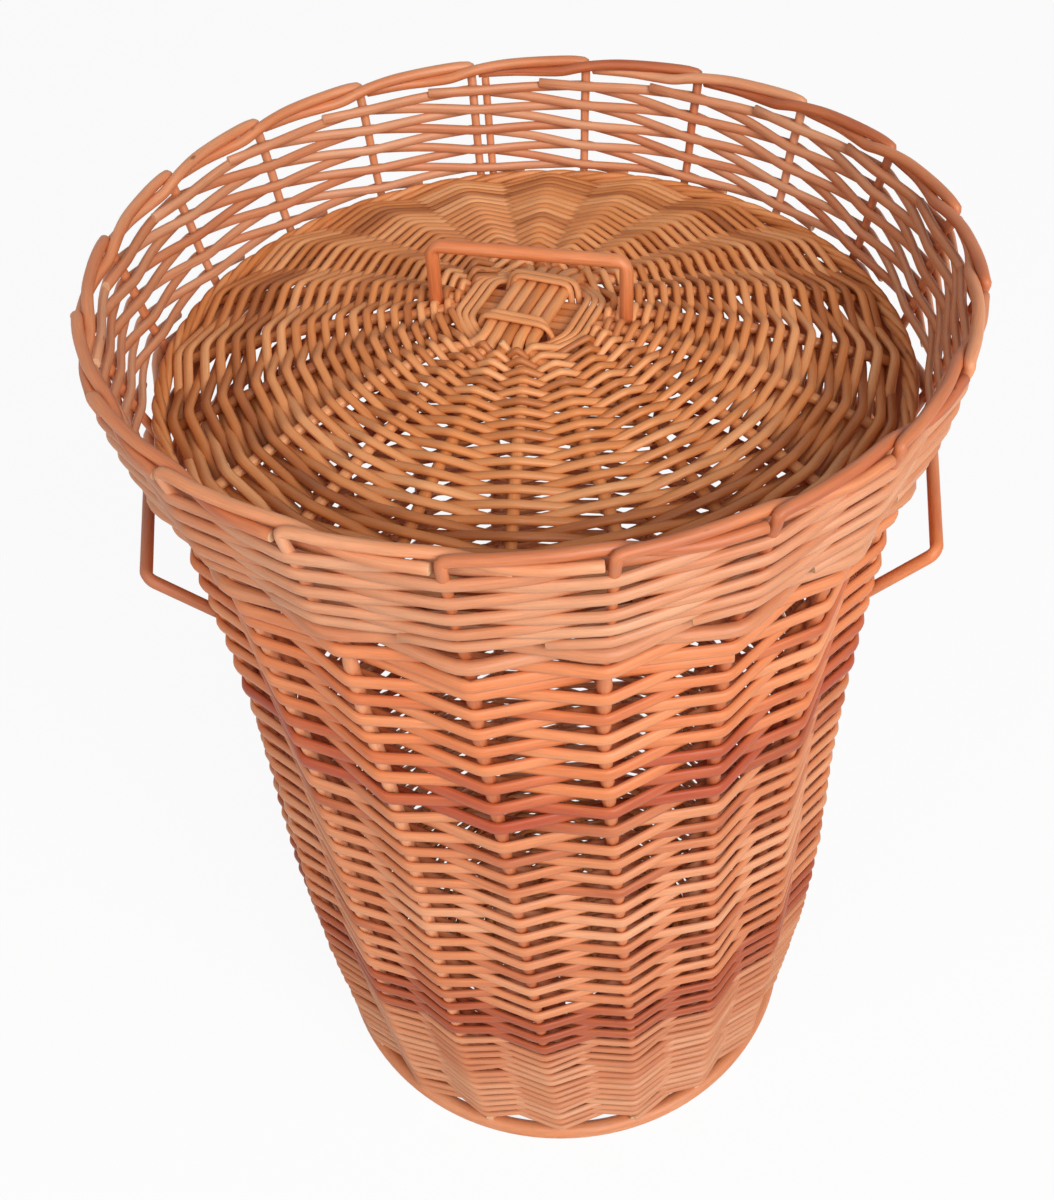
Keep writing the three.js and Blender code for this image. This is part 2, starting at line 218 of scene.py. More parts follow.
@dataclass
class Rod:
    """One willow rod.

    The surface is a function of two parameters, along the path and around it: from each path
    point, half the thickness times the cosine along the facing direction, and half the width
    times the sine across it.
    """

    path: Array
    facing: Array
    thickness: Array | float
    tone: float = 0.5
    width: Array | float | None = None
    loop: bool = False
    end_inset: float = 0.4

    def rings(self, sides: int) -> tuple[Array, Array, Array]:
        """Corners of the rod's skin.

        Args:
            sides: corners of each ring.

        Returns:
            The rings of corners, the length along the rod at each ring, and 1 for each ring that
            bounds a cut end.
        """
        count = len(self.path)
        thick = np.broadcast_to(np.asarray(self.thickness, float), count)
        wide = thick if self.width is None else np.broadcast_to(np.asarray(self.width, float), count)
        path, facing = self.path, np.broadcast_to(self.facing, self.path.shape)
        cut = np.zeros(count)
        if not self.loop:
            inset = self.end_inset
            first = path[0] - unit(path[1] - path[0]) * inset
            last = path[-1] + unit(path[-1] - path[-2]) * inset
            path = np.vstack([first, path, last])
            facing = np.vstack([facing[:1], facing, facing[-1:]])
            thick = np.concatenate([thick[:1] - 2 * inset, thick, thick[-1:] - 2 * inset])
            wide = np.concatenate([wide[:1] - 2 * inset, wide, wide[-1:] - 2 * inset])
            cut = np.concatenate([[1], cut, [1]])
        if self.loop:
            tangent = unit(np.roll(path, -1, axis=0) - np.roll(path, 1, axis=0))
        else:
            tangent = unit(np.gradient(path, axis=0))
        face = unit(facing - (facing * tangent).sum(1, keepdims=True) * tangent)
        across = np.cross(tangent, face)
        angle = np.pi + 2 * np.pi * np.arange(sides) / sides
        rings = (path[:, None] + face[:, None] * (thick[:, None] / 2 * np.cos(angle))[..., None]
                 + across[:, None] * (wide[:, None] / 2 * np.sin(angle))[..., None])
        steps = np.linalg.norm(np.diff(path, axis=0), axis=1)
        return rings, np.concatenate([[0], np.cumsum(steps)]), cut


@dataclass(frozen=True)
class Tones:
    """How far the rods' tones spread round their middle, and the least and most that one may be."""

    middle: float
    spread: float
    least: float = 0.05
    most: float = 0.95

    def draw(self, rng: np.random.Generator, redness: float = 0.0) -> float:
        """Draw the tone of one rod.

        Args:
            rng: source of the draw.
            redness: what its place adds.

        Returns:
            The tone.
        """
        return float(np.clip(rng.normal(self.middle, self.spread) + redness, self.least, self.most))


# Finishes


def linear(code: int) -> tuple[float, float, float, float]:
    """Linear colour of an sRGB hex value.

    Args:
        code: red, green and blue bytes.

    Returns:
        Red, green, blue and full opacity.
    """
    parts = [((code >> shift) & 255) / 255 for shift in (16, 8, 0)]
    return (*[p / 12.92 if p <= 0.04045 else ((p + 0.055) / 1.055) ** 2.4 for p in parts], 1.0)


def node(tree: bpy.types.NodeTree, kind: str, settings: dict | None = None,
         **links: object) -> bpy.types.Node:
    """Add a shader node.

    Args:
        tree: where it goes.
        kind: its type name, without the ShaderNode that every one begins with.
        settings: properties of the node itself.
        **links: for each input, by name or as i0, i1 and on, a socket to link or a value to set.

    Returns:
        The node.
    """
    made = tree.nodes.new(f"ShaderNode{kind}")
    for key, value in (settings or {}).items():
        setattr(made, key, value)
    for key, value in links.items():
        numbered = key[0] == "i" and key[1:].isdigit()
        socket = made.inputs[int(key[1:]) if numbered else key.replace("_", " ")]
        if isinstance(value, bpy.types.NodeSocket):
            tree.links.new(value, socket)
        else:
            socket.default_value = value
    return made


def empty_tree(owner: bpy.types.Material | bpy.types.World) -> bpy.types.NodeTree:
    """Take the first nodes out of a new material or world.

    Args:
        owner: what the nodes belong to.

    Returns:
        Its node tree, with no node in it.
    """
    owner.use_nodes = True
    owner.node_tree.nodes.clear()
    return owner.node_tree


@dataclass(frozen=True)
class PeeledWillow:
    """Willow rod, boiled and peeled: a smooth satin surface, not varnished.

    Boiling stains the wood from pale peach to red brown, unevenly along a rod, so each rod has its
    own tone and the colour drifts over a hand's breadth. Fine grain runs along it, a small dark
    bud scar shows here and there, and a cut end is paler than the skin.
    """

    name: str
    pale: int
    body: int
    deep: int
    roughness: float = 0.47
    girth: float = 0.019
    drift_length: float = 0.09
    drift_share: float = 0.85
    drift_middle: float = 0.43
    grain_width: float = 0.0009
    streaks_per_metre: float = 75.0
    grain_depth: float = 0.0004
    scar_spacing: float = 0.034
    scar_edge: tuple[float, float] = (0.035, 0.085)
    scarred_cells: float = 0.4
    scar_strength: float = 0.75
    pith: int = 0xDDB58C
    scar: int = 0x6B3D26

    def build(self) -> bpy.types.Material:
        """Make the material.

        Returns:
            The material, patterned along each rod by its own map.
        """
        material = bpy.data.materials.new(self.name)
        tree = empty_tree(material)
        tone = node(tree, "Attribute", {"attribute_name": "tone"}).outputs["Fac"]
        cut = node(tree, "Attribute", {"attribute_name": "cut"}).outputs["Fac"]
        colour, grain = self.skin(tree, tone)
        ended = node(tree, "Mix", {"data_type": "RGBA"}, i0=cut, i6=colour, i7=linear(self.pith)).outputs[2]
        rough = node(tree, "MapRange", Value=grain, i1=0.25, i2=0.75,
                     i3=self.roughness - 0.06, i4=self.roughness + 0.1).outputs[0]
        bump = node(tree, "Bump", Strength=0.28, Distance=self.grain_depth, Height=grain).outputs["Normal"]
        shader = node(tree, "BsdfPrincipled", Base_Color=ended, Roughness=rough, Normal=bump, IOR=1.5)
        node(tree, "OutputMaterial", Surface=shader.outputs["BSDF"])
        return material

    def skin(self, tree: bpy.types.NodeTree,
             tone: bpy.types.NodeSocket) -> tuple[bpy.types.NodeSocket, bpy.types.NodeSocket]:
        """The peeled skin's colour and its grain.

        The rod's tone plus a slow drift picks the colour between pale and deep, the grain streaks
        it, and bud scars darken it. The tone also shifts the patterns, so no two rods are alike.

        Args:
            tree: where the nodes go.
            tone: the rod's own tone.

        Returns:
            The sockets of the colour and of the grain's height.
        """
        uv = node(tree, "UVMap", {"uv_map": "rod"}).outputs["UV"]
        shift = node(tree, "Math", {"operation": "MULTIPLY"}, i0=tone, i1=37.0).outputs[0]
        place = node(tree, "SeparateXYZ", Vector=uv)
        spread = node(tree, "CombineXYZ", X=place.outputs["X"], Y=place.outputs["Y"], Z=shift).outputs[0]
        # So many cells round the rod and along a metre of it, for the drift, the grain and the scars.
        # Grain that is finer than a pixel is drawn about 13 mm long; a scar is about 2 mm across
        scales = ((1.6, 1 / self.drift_length), (self.girth / self.grain_width, self.streaks_per_metre),
                  (self.girth / self.scar_spacing * 2, 1 / self.scar_spacing))
        drift_at, grain_at, scar_at = [
            node(tree, "VectorMath", {"operation": "MULTIPLY"}, i0=spread, i1=(*scale, 1.0)).outputs[0]
            for scale in scales]
        drift, grain = [
            node(tree, "TexNoise", {"noise_dimensions": "3D"}, Vector=at, Scale=1.0, Detail=detail,
                 Roughness=roughness).outputs["Fac"]
            for at, detail, roughness in ((drift_at, 2.0, 0.55), (grain_at, 3.0, 0.6))]
        mixed = node(tree, "Math", {"operation": "MULTIPLY_ADD"},
                     i0=drift, i1=self.drift_share, i2=tone).outputs[0]
        mixed = node(tree, "Math", {"operation": "SUBTRACT"}, i0=mixed, i1=self.drift_middle).outputs[0]
        ramp = node(tree, "ValToRGB", Fac=mixed)
        stops = ramp.color_ramp.elements
        stops[0].position, stops[0].color = 0.08, linear(self.pale)
        stops[1].position, stops[1].color = 0.95, linear(self.deep)
        stops.new(0.5).color = linear(self.body)
        streak = node(tree, "MapRange", Value=grain, i1=0.3, i2=0.7, i3=0.86, i4=1.08).outputs[0]
        grained = node(tree, "VectorMath", {"operation": "SCALE"},
                       i0=ramp.outputs["Color"], Scale=streak).outputs[0]
        cells = node(tree, "TexVoronoi", {"voronoi_dimensions": "3D"}, Vector=scar_at, Scale=1.0)
        dot = node(tree, "MapRange", Value=cells.outputs["Distance"], i1=self.scar_edge[0],
                   i2=self.scar_edge[1], i3=1.0, i4=0.0).outputs[0]
        chance = node(tree, "SeparateColor", Color=cells.outputs["Color"]).outputs[0]
        chosen = node(tree, "Math", {"operation": "LESS_THAN"}, i0=chance, i1=self.scarred_cells).outputs[0]
        for share in (chosen, self.scar_strength):
            dot = node(tree, "Math", {"operation": "MULTIPLY"}, i0=dot, i1=share).outputs[0]
        scarred = node(tree, "Mix", {"data_type": "RGBA"}, i0=dot, i6=grained, i7=linear(self.scar))
        return scarred.outputs[2], grain


class Willow(Enum):
    """The record's slots and the finish of each."""

    PEACH = PeeledWillow("peeled_willow_peach", 0xE8A67B, 0xD98656, 0xAC4F27)
    PALE = PeeledWillow("peeled_willow_pale", 0xDFA27A, 0xD1865B, 0xB66038)
    ORANGE = PeeledWillow("peeled_willow_orange", 0xEA9B69, 0xDB7D48, 0xB24B26)
    RED = PeeledWillow("peeled_willow_red", 0xCF8058, 0xB96A44, 0x8E452A)
    TAN = PeeledWillow("peeled_willow_tan", 0xEDA66D, 0xD78548, 0xA05624)

    @property
    def slot(self) -> str:
        """Name of the record's slot."""
        return f"{self.name.lower()}_willow"


# Pieces


def placed(name: str, data: bpy.types.ID) -> bpy.types.Object:
    """Put a new object in the scene.

    Args:
        name: its name.
        data: its mesh, lamp or camera.

    Returns:
        The object.
    """
    made = bpy.data.objects.new(name, data)
    bpy.context.scene.collection.objects.link(made)
    return made


@dataclass
class Bundle:
    """Rods that make one piece of the visual model."""

    name: str
    body: Body
    willow: Willow
    nodes: tuple[str, ...]
    sides: int = 8
    rods: list[Rod] = field(default_factory=list)

    def build(self) -> bpy.types.Object:
        """Make the piece's mesh, with its place in its vertices.

        A rod's skin is a grid of four-cornered faces between its rings, mapped by the share of a
        turn around the rod and the length along it in metres; a flat face closes each cut end.

        Returns:
            The object, riding on its body and standing for its nodes.
        """
        corners, loops, starts, maps, tones, cuts = [], [], [], [], [], []
        base = offset = 0
        for rod in self.rods:
            rings, along, cut = rod.rings(self.sides)
            count, sides = rings.shape[:2]
            bays = count if rod.loop else count - 1
            here = base + np.arange(bays)[:, None] * sides
            there = base + ((np.arange(bays)[:, None] + 1) % count) * sides
            j = np.arange(sides)[None, :]
            k = (j + 1) % sides
            quads = np.stack([here + j, here + k, there + k, there + j], axis=-1).reshape(-1)
            middles = rings.mean(1)
            bay_length = np.linalg.norm(np.roll(middles, -1, axis=0) - middles, axis=1)[:bays]
            around, low, high = (np.broadcast_to(values, (bays, sides)) for values in (
                j / sides, along[:bays, None] * MM, (along[:bays] + bay_length)[:, None] * MM))
            beside = around + 1 / sides
            quad_map = np.stack([np.stack(place, -1) for place in (
                (around, low), (beside, low), (beside, high), (around, high))], axis=2)
            corners.append(rings.reshape(-1, 3) * MM)
            loops.append(quads)
            starts.append(offset + 4 * np.arange(bays * sides))
            maps.append(quad_map.reshape(-1, 2))
            offset += 4 * bays * sides
            if not rod.loop:
                ring = np.arange(sides)
                last = base + (count - 1) * sides
                for cap, length in ((base + ring[::-1], 0.0), (last + ring, along[-1] * MM)):
                    loops.append(cap)
                    starts.append(np.array([offset]))
                    maps.append(np.stack([np.full(sides, 0.5), np.full(sides, length)], -1))
                    offset += sides
            tones.append(np.full(count * sides, rod.tone))
            cuts.append(np.repeat(cut, sides))
            base += count * sides
        mesh = bpy.data.meshes.new(self.name)
        mesh.vertices.add(base)
        mesh.vertices.foreach_set("co", np.vstack(corners).astype(np.float32).ravel())
        mesh.loops.add(offset)
        mesh.loops.foreach_set("vertex_index", np.concatenate(loops).astype(np.int32))
        faces = np.concatenate(starts).astype(np.int32)
        mesh.polygons.add(len(faces))
        mesh.polygons.foreach_set("loop_start", faces)
        mesh.polygons.foreach_set("use_smooth", np.diff(faces, append=offset) == 4)
        mesh.update(calc_edges=True)
        mesh.uv_layers.new(name="rod").data.foreach_set("uv", np.vstack(maps).astype(np.float32).ravel())
        for label, rows in (("tone", tones), ("cut", cuts)):
            layer = mesh.attributes.new(label, "FLOAT", "POINT")
            layer.data.foreach_set("value", np.concatenate(rows).astype(np.float32))
        mesh.validate()
        piece = placed(self.name, mesh)
        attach(piece, self.body.value)
        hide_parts(*self.nodes)
        self.willow.slot
        LOG.info("%s: %d rods, %d faces", self.name, len(self.rods), len(mesh.polygons))
        return piece


class Shop:
    """Makes each piece in its finish, and each finish only once."""

    def __init__(self) -> None:
        """Start with no material made."""
        self.made: dict[Willow, bpy.types.Material] = {}

    def make(self, bundle: Bundle) -> None:
        """Make a piece and give it its finish.

        Args:
            bundle: the rods of the piece.
        """
        if bundle.willow not in self.made:
            self.made[bundle.willow] = bundle.willow.value.build()
        bundle.build().data.materials.append(self.made[bundle.willow])


# Wall


@dataclass(frozen=True)
class Lengths:
    """How long a strand's rods are, in steps from one stake or ray to the next.

    A rod's steps are drawn from the least up to one less than the most, and it ends on a side
    that doesn't show, where its tip is tucked towards the basket's axis.
    """

    least: int
    most: int
    shortest: int
    tuck: float = 0.0

    def share_out(self, knots: Array, hidden: Array, room: Array, bend: float,
                  rng: np.random.Generator) -> Iterator[tuple[Array, Array, Array]]:
        """Share a strand's path among rods laid end to end.

        Args:
            knots: the strand's corners.
            hidden: whether it lies on the hidden side, at each corner.
            room: width that a rod may take at each corner.
            bend: share of a run that each bend takes.
            rng: source of the rods' lengths.

        Yields:
            For each rod its path, and the share of its length and the room at each point.
        """
        start, last = 0, len(knots) - 1
        while start < last - 1:
            stop = min(start + int(rng.integers(self.least, self.most)), last)
            while stop < last and not hidden[stop]:
                stop += 1
            stop = last if last - stop < self.shortest else stop
            own = knots[start: stop + 1].copy()
            if stop < last:
                own[-1] = own[-1] - self.tuck * outward(own[-1:])[0]
            path = kinked(own, bend)
            share = np.linspace(0, 1, len(path))
            yield path, share, np.interp(share, np.linspace(0, 1, len(own)), room[start: stop + 1])
            start = stop


@dataclass(frozen=True)
class Band:
    """A stretch of the wall's weave: two strands that climb together in turns round the stakes.

    Redness is added to the rods' tones by height. A rod fills a share of the room between its
    neighbours, and strays up and down by some tenths of a millimetre.
    """

    name: str
    willow: Willow
    zones: tuple[str, ...]
    thickness: float
    redness: tuple[tuple[float, float], ...]
    fill: float = 0.97
    stray: float = 0.3
    tones: Tones = Tones(0.46, 0.17, 0.02, 0.98)


@dataclass
class Wall:
    """The woven wall: two rods chasing each other from the foot up to the ledge.

    A rod is packed down by the ones above it, so it is a little taller than it is thick. The
    depths are heights and how much of the height one turn takes up there.
    """

    start_stake: int = 5
    foot: float = 15.0
    top_row: float = 491.0
    courses: tuple[float, float] = (497.6, 505.6)
    tops: tuple[float, float] = (136.0, 354.0)
    depths: tuple[tuple[float, float], ...] = (
        (0, 9.6), (130, 9.7), (146, 14.2), (345, 14.2), (358, 17.2), (398, 17.0), (415, 15.4), (440, 14.8),
        (510, 14.8))
    stake_thickness: float = 6.4
    bend: float = 0.06
    sway: float = 0.2
    taper: tuple[float, float] = (1.05, 0.12)
    width_taper: tuple[float, float] = (1.04, 0.08)
    lengths: Lengths = Lengths(17, 27, 6, 3.2)
    course_thickness: float = 4.8
    course_width: float = 7.8
    course_tone: float = 0.36
    seed: int = 11
    bands: tuple[Band, ...] = (
        Band("foot_weave", Willow.PALE, ("foot", "ankle"), 4.2,
             ((0, -0.12), (110, -0.08), (136, 0.1)), 0.86, 0.15, Tones(0.46, 0.1, 0.02, 0.98)),
        Band("lower_siding", Willow.PEACH, ("hip", "lower", "waist"), 4.0,
             ((130, 0.58), (178, 0.54), (212, 0.04), (335, -0.02), (356, 0.2))),
        Band("upper_siding", Willow.ORANGE, ("shoulder", "upper"), 4.3,
             ((345, 0.62), (382, 0.58), (406, 0.16), (440, 0.0), (505, -0.1))))

    def heights(self) -> tuple[Array, Array, list[int]]:
        """Height of the weave along its unrolled turns.

        The underside of a turn lies on the turn below: its height is that of the same stake one
        turn before plus the depth of the weave there, which follows the thickness of the rods.

        Returns:
            The underside and the depth at each step, and the steps between which the bands lie.
        """
        zs, depths = np.array(self.depths).T
        under = list(self.foot + depths[0] * np.arange(STAKES) / STAKES)
        depth = [float(np.interp(under[0], zs, depths))]
        ends = [0]
        while under[len(depth) - 1] + depth[-1] / 4 <= self.top_row:
            under.append(under[len(depth) - 1] + depth[-1])
            step = len(depth)
            depth.append(float(np.interp(under[step], zs, depths)))
            if len(ends) <= len(self.tops) and under[step] > self.tops[len(ends) - 1] and step % STAKES == 0:
                ends.append(step)
        return np.array(under[: len(depth)]), np.array(depth), [*ends, len(depth) - 1]

    def outside_passes(self, stake: int) -> Array:
        """Heights at which a weaver passes outside a stake.

        Args:
            stake: its number round the basket.

        Returns:
            The heights, from the foot up.
        """
        under, depth, _ = self.heights()
        steps = np.arange((stake - self.start_stake) % STAKES, len(under), STAKES)
        return under[steps] + depth[steps] / 2 * ((steps + 1) % 2 + 0.5)

    def strand(self, place: int, number: int) -> list[Rod]:
        """The rods of one strand, laid end to end inside the basket.

        The second strand of the lowest band starts half a turn early and that of the highest ends
        half a turn early, so that the weave starts and ends level.

        Args:
            place: place of its band, from the foot.
            number: which of the band's strands.

        Returns:
            The rods.
        """
        band = self.bands[place]
        under, depth, ends = self.heights()
        rng = np.random.default_rng((self.seed, place, number))
        stagger = number * STAKES // 2
        steps = np.arange(ends[place] - (stagger if place == 0 else 0),
                          ends[place + 1] + 1 - (stagger if place == len(self.bands) - 1 else 0))
        known = np.arange(len(under))
        slope = under[1] - under[0]
        low = np.where(steps < 0, under[0] + slope * steps, np.interp(steps, known, under))
        deep = np.interp(steps, known, depth)
        z = low + deep / 2 * (number + 0.5) + rng.normal(0, band.stray, len(steps))
        reach = (self.stake_thickness + band.thickness) / 2 / (1 - self.bend)
        inside = (steps + number) % 2 == 0
        offset = np.where(inside, -reach, reach) + rng.normal(0, self.sway, len(steps))
        knots = wall_point(self.start_stake + steps, z, offset)
        rods = []
        for path, share, room in self.lengths.share_out(knots, inside, deep / 2, self.bend, rng):
            red = np.interp(path[:, 2].mean(), *np.asarray(band.redness, float).T)
            rods.append(Rod(path, outward(path), tapered(band.thickness, self.taper, share),
                            band.tones.draw(rng, red),
                            width=tapered(room * band.fill, self.width_taper, share)))
        return rods

    def course(self, level: int) -> Rod:
        """One of the two level rows that end the siding, under the ledge.

        Args:
            level: 0 for the lower, 1 for the upper.

        Returns:
            The rod.
        """
        stakes = np.arange(STAKES)
        reach = (self.stake_thickness + self.course_thickness) / 2 / (1 - self.bend)
        knots = wall_point(stakes, self.courses[level], np.where((stakes + level) % 2 == 0, reach, -reach))
        path = kinked(knots, self.bend, loop=True)
        return Rod(path, outward(path), self.course_thickness, self.course_tone, width=self.course_width,
                   loop=True)

    def build(self, shop: Shop) -> None:
        """Make the three bands.

        Args:
            shop: maker of the pieces.
        """
        for place, band in enumerate(self.bands):
            nodes = tuple(f"{zone}_weaver_{i}" for zone in band.zones for i in (1, 2))
            rods = self.strand(place, 0) + self.strand(place, 1)
            if place == len(self.bands) - 1:
                rods += [self.course(0), self.course(1)]
            shop.make(Bundle(band.name, Body.BASKET, band.willow, nodes, rods=rods))


@dataclass
class Stakes:
    """The upright stakes, each bent over at the top as a rod of the border.

    The throat is given as heights and thicknesses, the spare rod's path as heights and how far
    out it lies. The border is given as stake spaces along it and how far out and up the rod lies
    in border spacings, and its taper as stake spaces and shares of the thickness.
    """

    foot: float = 11.6
    border_spacing: float = 5.7
    border_thickness: float = 5.9
    pressed: float = 6.2
    between: float = 7.5
    swell: float = 0.6
    throat: tuple[tuple[float, float], ...] = ((512.0, 5.8), (530.0, 4.9), (548.0, 4.8), (566.0, 5.0))
    spare_beside: int = 5
    spare_thickness: float = 4.6
    spare_path: tuple[tuple[float, float], ...] = (
        (512.0, 0.0), (530.0, 0.0), (550.0, 0.0), (570.0, 0.5), (586.0, 1.0))
    tones: Tones = Tones(0.52, 0.14)
    to_a_piece: int = 4
    seed: int = 21
    border: tuple[tuple[float, float, float], ...] = (
        (0, 0.5, -0.4), (0.04, 0.46, 0.36), (0.3, 0.26, 0.45), (0.65, -0.02, 0.45), (0.88, -0.3, 0.34),
        (1.04, -0.46, 0.12), (1.2, -0.4, -0.3), (1.38, 0.0, -0.5), (1.62, 0.34, -0.5), (1.93, 0.5, -0.46))
    border_taper: tuple[tuple[float, float], ...] = ((0.0, 0.92), (0.1, 1.0), (1.0, 1.0), (1.91, 0.94))

    def rod(self, stake: int, passes: Array, rng: np.random.Generator) -> Rod:
        """One stake from the foot ring to its cut end in the border.

        The weavers nip the stake where they pass outside it, and it swells between them.

        Args:
            stake: its number round the basket.
            passes: heights at which a weaver passes outside it.
            rng: source of its tone.

        Returns:
            The rod.
        """
        gaps = (passes[:-1] + passes[1:]) / 2 - 1.0
        throat, throat_thick = np.array(self.throat).T
        z = np.concatenate([[self.foot], passes, gaps, throat])
        nipped, free = np.ones(1 + len(passes)), np.ones(len(gaps))
        thick = np.concatenate([nipped * self.pressed, free * self.between, throat_thick])
        out = np.concatenate([nipped * 0, free * self.swell, throat * 0])
        order = np.argsort(z)
        wall = wall_point(stake, z[order], out[order])
        wall_thick = thick[order]
        spaces, out, rise = np.array(self.border).T
        bent = polar(RIM_RADIUS + out * self.border_spacing, stake_angle(stake + spaces, RIM_HEIGHT),
                     RIM_HEIGHT + rise * self.border_spacing)
        bent_thick = self.border_thickness * np.interp(spaces, *np.array(self.border_taper).T)
        rows = np.vstack([np.column_stack([wall, wall_thick]), np.column_stack([bent, bent_thick])])
        path = spline(rows, 4)
        return Rod(path[:, :3], outward(path[:, :3]), path[:, 3], self.tones.draw(rng))

    def spare(self) -> Rod:
        """The short rod pushed in beside one stake at the back, through the collar.

        Returns:
            The rod.
        """
        z, out = np.array(self.spare_path).T
        path = spline(wall_point(self.spare_beside - 0.12, z, out), 4)
        return Rod(path, outward(path), self.spare_thickness)

    def build(self, shop: Shop, wall: Wall) -> None:
        """Make the stakes, a few to a piece.

        Args:
            shop: maker of the pieces.
            wall: the weave that they carry.
        """
        rng = np.random.default_rng(self.seed)
        for group in range(STAKES // self.to_a_piece):
            numbers = range(group * self.to_a_piece, (group + 1) * self.to_a_piece)
            nodes = tuple(f"stake_{i + 1:02d}" for i in numbers)
            rods = [self.rod(i, wall.outside_passes(i), rng) for i in numbers]
            if self.spare_beside in numbers:
                rods.append(self.spare())
            shop.make(Bundle(f"stakes_{group + 1}", Body.BASKET, Willow.PEACH, nodes, 12, rods))


@dataclass
class Ledge:
    """Two thick rods in and out of the stakes at the throat; the lid rests on them."""

    thickness: float = 7.3
    spacing: float = 9.2
    stake_thickness: float = 5.9
    bend: float = 0.15
    stray: float = 0.2
    tones: tuple[float, float] = (0.42, 0.52)
    seed: int = 31

    def build(self, shop: Shop) -> None:
        """Make the upper and the lower rod.

        Args:
            shop: maker of the pieces.
        """
        rng = np.random.default_rng(self.seed)
        reach = (self.stake_thickness + self.thickness) / 2 / (1 - self.bend)
        stakes = np.arange(STAKES)
        for level, name in enumerate(("ledge_rod_upper", "ledge_rod_lower")):
            side = np.where((stakes + level) % 2 == 1, reach, -reach)
            height = LEDGE_HEIGHT - level * self.spacing
            knots = wall_point(stakes, height + rng.normal(0, self.stray, STAKES), side)
            path = kinked(knots, self.bend, loop=True)
            rod = Rod(path, outward(path), self.thickness, self.tones[level], loop=True)
            shop.make(Bundle(f"{name}_willow", Body.BASKET, Willow.PALE, (name,), 10, [rod]))


@dataclass
class Collar:
    """The open collar: a rod starts at every stake and slopes down past ten of them, in and out.

    At a stake the rods lie together in pairs, one inside it and one outside; halfway to the next
    they are evenly spread. So each opening is a lens with a stake down its middle. The butt and
    the tip are given as stake spaces along from the last knot, how far up, and how far out.
    """

    pairs: tuple[float, ...] = (580.2, 568.9, 557.4, 546.0, 535.4)
    thickness: float = 4.2
    width: float = 5.7
    apart: float = 1.4
    taper: tuple[float, float] = (1.08, 0.14)
    stake_thickness: float = 4.6
    bends: tuple[float, float, float] = (0.14, 0.45, 0.3)
    butt: tuple[float, float, float] = (0.4, 0.8, -1.6)
    tip: tuple[float, float, float] = (-0.42, -2.2, 1.0)
    stray: float = 0.3
    tones: Tones = Tones(0.42, 0.16, 0.05, 0.9)
    seed: int = 41

    def rod(self, start: int, rng: np.random.Generator) -> Rod:
        """One rod, from its thick end under the border to its tip at the ledge.

        Its knots lie at the stakes and halfway between; the inner rod of a pair is the higher.

        Args:
            start: stake at which it starts.
            rng: source of its tone and small strays.

        Returns:
            The rod.
        """
        order = np.arange(2 * len(self.pairs))
        reach = (self.stake_thickness + self.thickness) / 2
        level = np.asarray(self.pairs)[order // 2] + np.where(order % 2 == 0, self.apart, -self.apart)
        half = np.arange(2 * len(order) - 1)
        z = np.interp(half / 2, order, level) + rng.normal(0, self.stray, len(half))
        side = np.where(half % 2 == 1, 0.0, np.where(half % 4 == 0, -reach, reach))
        butt, tip = (wall_point(start - half[end] / 2 + along, z[end] + up, out)
                     for end, (along, up, out) in ((0, self.butt), (-1, self.tip)))
        at_stakes, between, at_ends = self.bends
        bends = np.concatenate([[at_ends], np.where(half % 2 == 0, at_stakes, between), [at_ends]])
        path = kinked(np.vstack([butt, wall_point(start - half / 2, z, side), tip]), bends)
        thick, wide = (tapered(size, self.taper, np.linspace(0, 1, len(path)))
                       for size in (self.thickness, self.width))
        return Rod(path, outward(path), thick, self.tones.draw(rng), width=wide)

    def build(self, shop: Shop) -> None:
        """Make the rods, those that start at even stakes and those at odd ones.

        Args:
            shop: maker of the pieces.
        """
        for strand in range(2):
            rng = np.random.default_rng((self.seed, strand))
            rods = [self.rod(start, rng) for start in range(strand, STAKES, 2)]
            shop.make(Bundle(f"collar_strand_{strand + 1}", Body.BASKET, Willow.PALE,
                             (f"collar_weaver_{strand + 1}",), rods=rods))


# Discs


